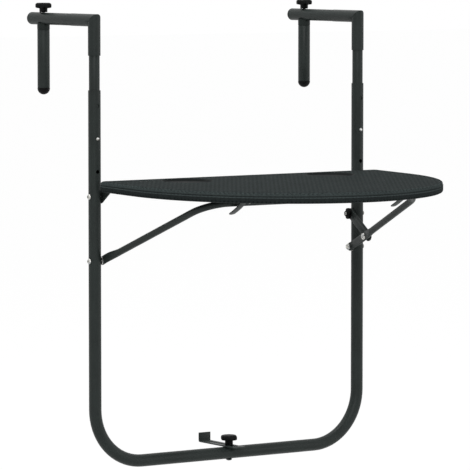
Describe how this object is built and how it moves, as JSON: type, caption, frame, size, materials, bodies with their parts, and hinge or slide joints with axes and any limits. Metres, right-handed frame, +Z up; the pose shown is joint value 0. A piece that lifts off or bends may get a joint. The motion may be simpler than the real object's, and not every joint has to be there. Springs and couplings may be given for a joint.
{
  "type": "balcony table",
  "caption": "Folding half-oval balcony table that hangs on a railing by clamp hooks adjustable in height, with a hinged top, a U-shaped folding brace with latch, and a sliding stop foot",
  "frame": {"origin": "mid rail point: half way between the two hooks, on the plane of the uprights' rear faces, level with the underside of the hook arms", "axes": "+X to the right as seen by the person at the table, +Y towards the railing, +Z up"},
  "size_m": [0.6, 0.645, 0.8222],
  "materials": {
    "powder_coated_steel": "satin fine-texture powder coat, anthracite",
    "moulded_plastic": "moulded rattan weave, anthracite",
    "black_plastic": "matt black moulding",
    "zinc_plated_steel": "bright zinc plating"
  },
  "bodies": {
    "frame": {"lower_frame": "powder_coated_steel", "left_hinge_bolt": "zinc_plated_steel", "left_hinge_nut": "zinc_plated_steel", "left_hinge_washer": "zinc_plated_steel", "left_brace_bolt": "zinc_plated_steel", "left_brace_nut": "zinc_plated_steel", "left_brace_washer": "zinc_plated_steel", "right_hinge_bolt": "zinc_plated_steel", "right_hinge_nut": "zinc_plated_steel", "right_hinge_washer": "zinc_plated_steel", "right_brace_bolt": "zinc_plated_steel", "right_brace_nut": "zinc_plated_steel", "right_brace_washer": "zinc_plated_steel", "latch_stud": "zinc_plated_steel", "latch_washer": "zinc_plated_steel", "stop_bolt": "zinc_plated_steel"},
    "table": {"table_top": "moulded_plastic", "left_hinge_bracket": "powder_coated_steel", "left_bracket_screw_1": "zinc_plated_steel", "left_bracket_screw_2": "zinc_plated_steel", "left_crossbar_catch": "powder_coated_steel", "left_catch_screw": "zinc_plated_steel", "right_hinge_bracket": "powder_coated_steel", "right_bracket_screw_1": "zinc_plated_steel", "right_bracket_screw_2": "zinc_plated_steel", "right_crossbar_catch": "powder_coated_steel", "right_catch_screw": "zinc_plated_steel"},
    "brace": {"folding_brace": "powder_coated_steel", "latch_rivet": "zinc_plated_steel", "latch_spacer": "zinc_plated_steel"},
    "latch": {"latch_plate": "powder_coated_steel"},
    "wing_nut": {"latch_wing_nut": "black_plastic"},
    "stop": {"stop_plate": "powder_coated_steel"},
    "stop_knob": {"stop_knob": "black_plastic"},
    "left_hook": {"left_hook_arm": "powder_coated_steel", "left_arm_end_cap": "black_plastic", "left_inner_tube": "powder_coated_steel"},
    "left_button": {"left_snap_clip": "zinc_plated_steel"},
    "left_clamp": {"left_clamp_leg": "powder_coated_steel", "left_saddle_cap": "black_plastic", "left_foot_cap": "black_plastic", "left_clamp_bolt": "zinc_plated_steel"},
    "left_knob": {"left_clamp_knob": "black_plastic"},
    "right_hook": {"right_hook_arm": "powder_coated_steel", "right_arm_end_cap": "black_plastic", "right_inner_tube": "powder_coated_steel"},
    "right_button": {"right_snap_clip": "zinc_plated_steel"},
    "right_clamp": {"right_clamp_leg": "powder_coated_steel", "right_saddle_cap": "black_plastic", "right_foot_cap": "black_plastic", "right_clamp_bolt": "zinc_plated_steel"},
    "right_knob": {"right_clamp_knob": "black_plastic"}
  },
  "joints": [
    {"name": "table_fold", "type": "hinge", "parent": "frame", "child": "table", "pos_m": [0, -0.011, -0.297], "axis": [1, 0, 0], "range_deg": [0, 89], "deforming": ["left_crossbar_catch", "right_crossbar_catch"]},
    {"name": "brace_fold", "type": "hinge", "parent": "frame", "child": "brace", "pos_m": [0, -0.011, -0.41], "axis": [1, 0, 0], "range_deg": [0, 114]},
    {"name": "latch_swing", "type": "hinge", "parent": "brace", "child": "latch", "pos_m": [0, -0.06545, -0.38729], "axis": [1, 0, 0], "range_deg": [0, 129]},
    {"name": "wing_nut_turn", "type": "hinge", "parent": "frame", "child": "wing_nut", "pos_m": [0, -0.011, -0.349], "axis": [1, 0, 0], "continuous": true},
    {"name": "left_hook_height", "type": "slide", "parent": "frame", "child": "left_hook", "axis": [0, 0, 1], "range_m": [-0.0575, 0.0575], "deforming": ["left_snap_clip"]},
    {"name": "left_button_press", "type": "slide", "parent": "left_hook", "child": "left_button", "axis": [0, 1, 0], "range_m": [0, 0.0032], "stiffness_N_per_m": 900, "springref_m": -0.001},
    {"name": "left_clamp_slide", "type": "slide", "parent": "left_hook", "child": "left_clamp", "axis": [0, 1, 0], "range_m": [-0.092, 0.008]},
    {"name": "left_knob_turn", "type": "hinge", "parent": "left_clamp", "child": "left_knob", "pos_m": [-0.284, 0.1577, 0.02], "axis": [0, 0, 1], "continuous": true},
    {"name": "right_hook_height", "type": "slide", "parent": "frame", "child": "right_hook", "axis": [0, 0, 1], "range_m": [-0.0575, 0.0575], "deforming": ["right_snap_clip"]},
    {"name": "right_button_press", "type": "slide", "parent": "right_hook", "child": "right_button", "axis": [0, 1, 0], "range_m": [0, 0.0032], "stiffness_N_per_m": 900, "springref_m": -0.001},
    {"name": "right_clamp_slide", "type": "slide", "parent": "right_hook", "child": "right_clamp", "axis": [0, 1, 0], "range_m": [-0.092, 0.008]},
    {"name": "right_knob_turn", "type": "hinge", "parent": "right_clamp", "child": "right_knob", "pos_m": [0.284, 0.1577, 0.02], "axis": [0, 0, 1], "continuous": true},
    {"name": "stop_slide", "type": "slide", "parent": "frame", "child": "stop", "axis": [0, 1, 0], "range_m": [-0.059, 0.022]},
    {"name": "stop_knob_turn", "type": "hinge", "parent": "frame", "child": "stop_knob", "pos_m": [0, -0.011, -0.769], "axis": [0, 0, 1], "continuous": true}
  ],
  "couplings": [
    {"joint": "brace_fold", "follows": "table_fold", "ratio": 1.2809},
    {"joint": "latch_swing", "follows": "table_fold", "ratio": 1.4494}
  ]
}
